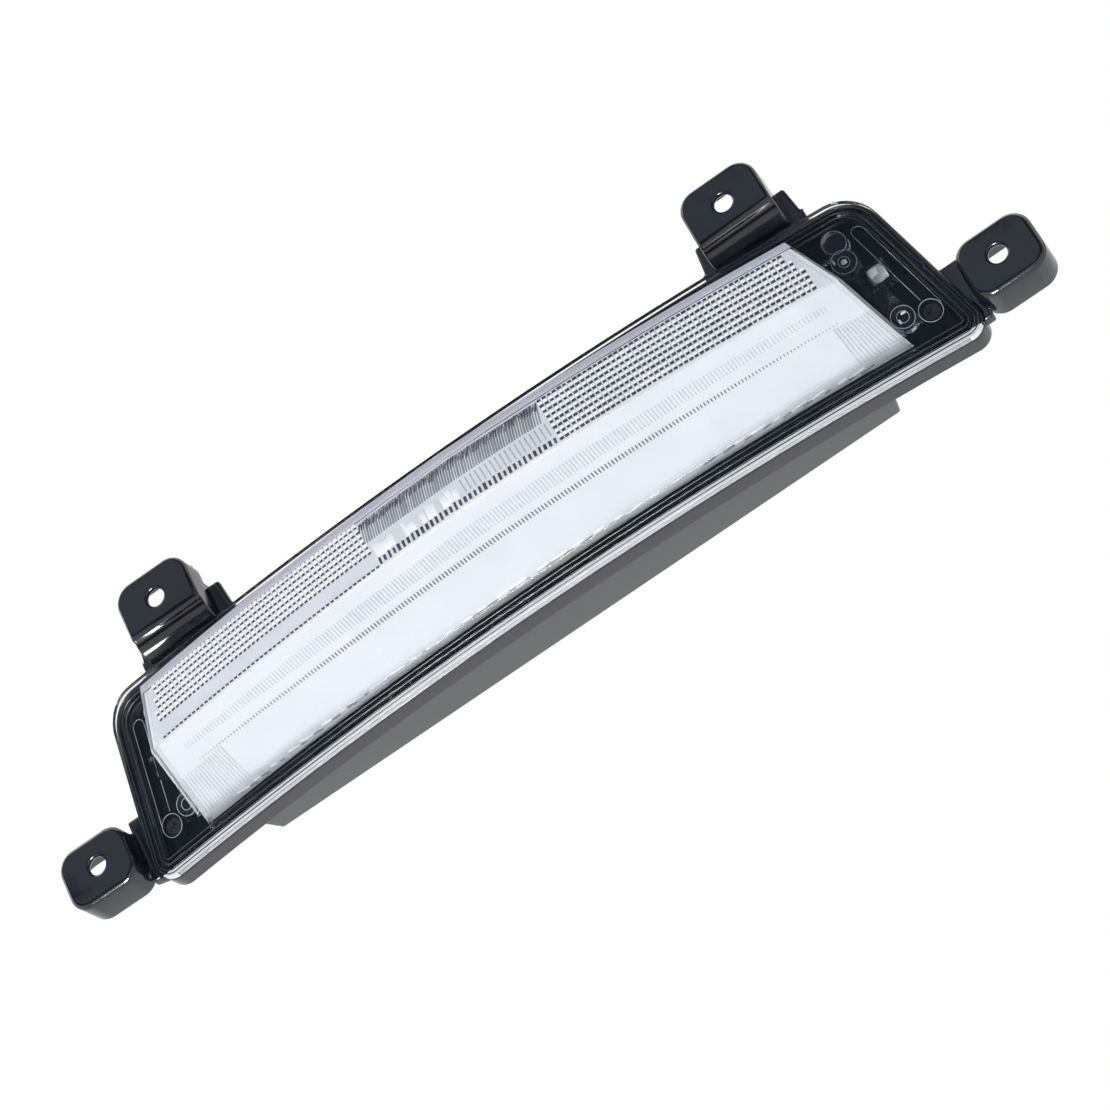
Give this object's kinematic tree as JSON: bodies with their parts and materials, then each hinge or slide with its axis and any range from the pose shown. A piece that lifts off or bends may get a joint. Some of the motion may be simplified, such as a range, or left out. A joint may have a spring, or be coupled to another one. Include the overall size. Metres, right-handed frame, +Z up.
{
  "type": "rear bumper lamp",
  "caption": "Long bowed rear bumper lamp: black housing with boxy end ears and upper tab ears, clear lens with a protruding wedge nose over a fluted optic, and a harness socket behind.",
  "frame": {"origin": "midway between the two end ear holes, on the front seats of the end ears", "axes": "+X along the lamp, -Y out of the lens, +Z up as fitted"},
  "size_m": [0.388, 0.0969, 0.0895],
  "materials": {
    "black_housing": "moulded satin to gloss black",
    "clear_lens": "clear, polished",
    "optic": "clear with pillow and flute texture",
    "sealant": "cured bead",
    "bright_reflector": "vacuum metallised",
    "board_mask": "white solder mask",
    "led_body": "phosphor yellow",
    "chip_body": "moulded package",
    "can_metal": "drawn can",
    "header_plastic": "natural nylon",
    "pad_grey": "soft filled pad",
    "sink_metal": "extruded, brushed",
    "screw_metal": "zinc plated",
    "socket_plastic": "glass filled nylon, black",
    "pin_metal": "tin over brass",
    "seal_rubber": "silicone",
    "vent_rubber": "moulded rubber",
    "membrane": "porous film"
  },
  "bodies": {
    "root": {"housing": "black_housing", "bezel": "black_housing", "outer_lens": "clear_lens", "inner_lens": "optic", "lens_bond_bead": "sealant", "reflector": "bright_reflector", "led_board": "board_mask", "led_packages": "led_body", "driver_chips": "chip_body", "board_resistors": "chip_body", "board_capacitors": "can_metal", "board_header": "header_plastic", "thermal_pad": "pad_grey", "heat_sink": "sink_metal", "board_screws": "screw_metal", "bezel_screws": "screw_metal", "socket_screws": "screw_metal", "harness_socket": "socket_plastic", "socket_terminals": "pin_metal", "socket_seal": "seal_rubber", "vent_cap": "vent_rubber", "vent_membrane": "membrane"}
  },
  "joints": []
}
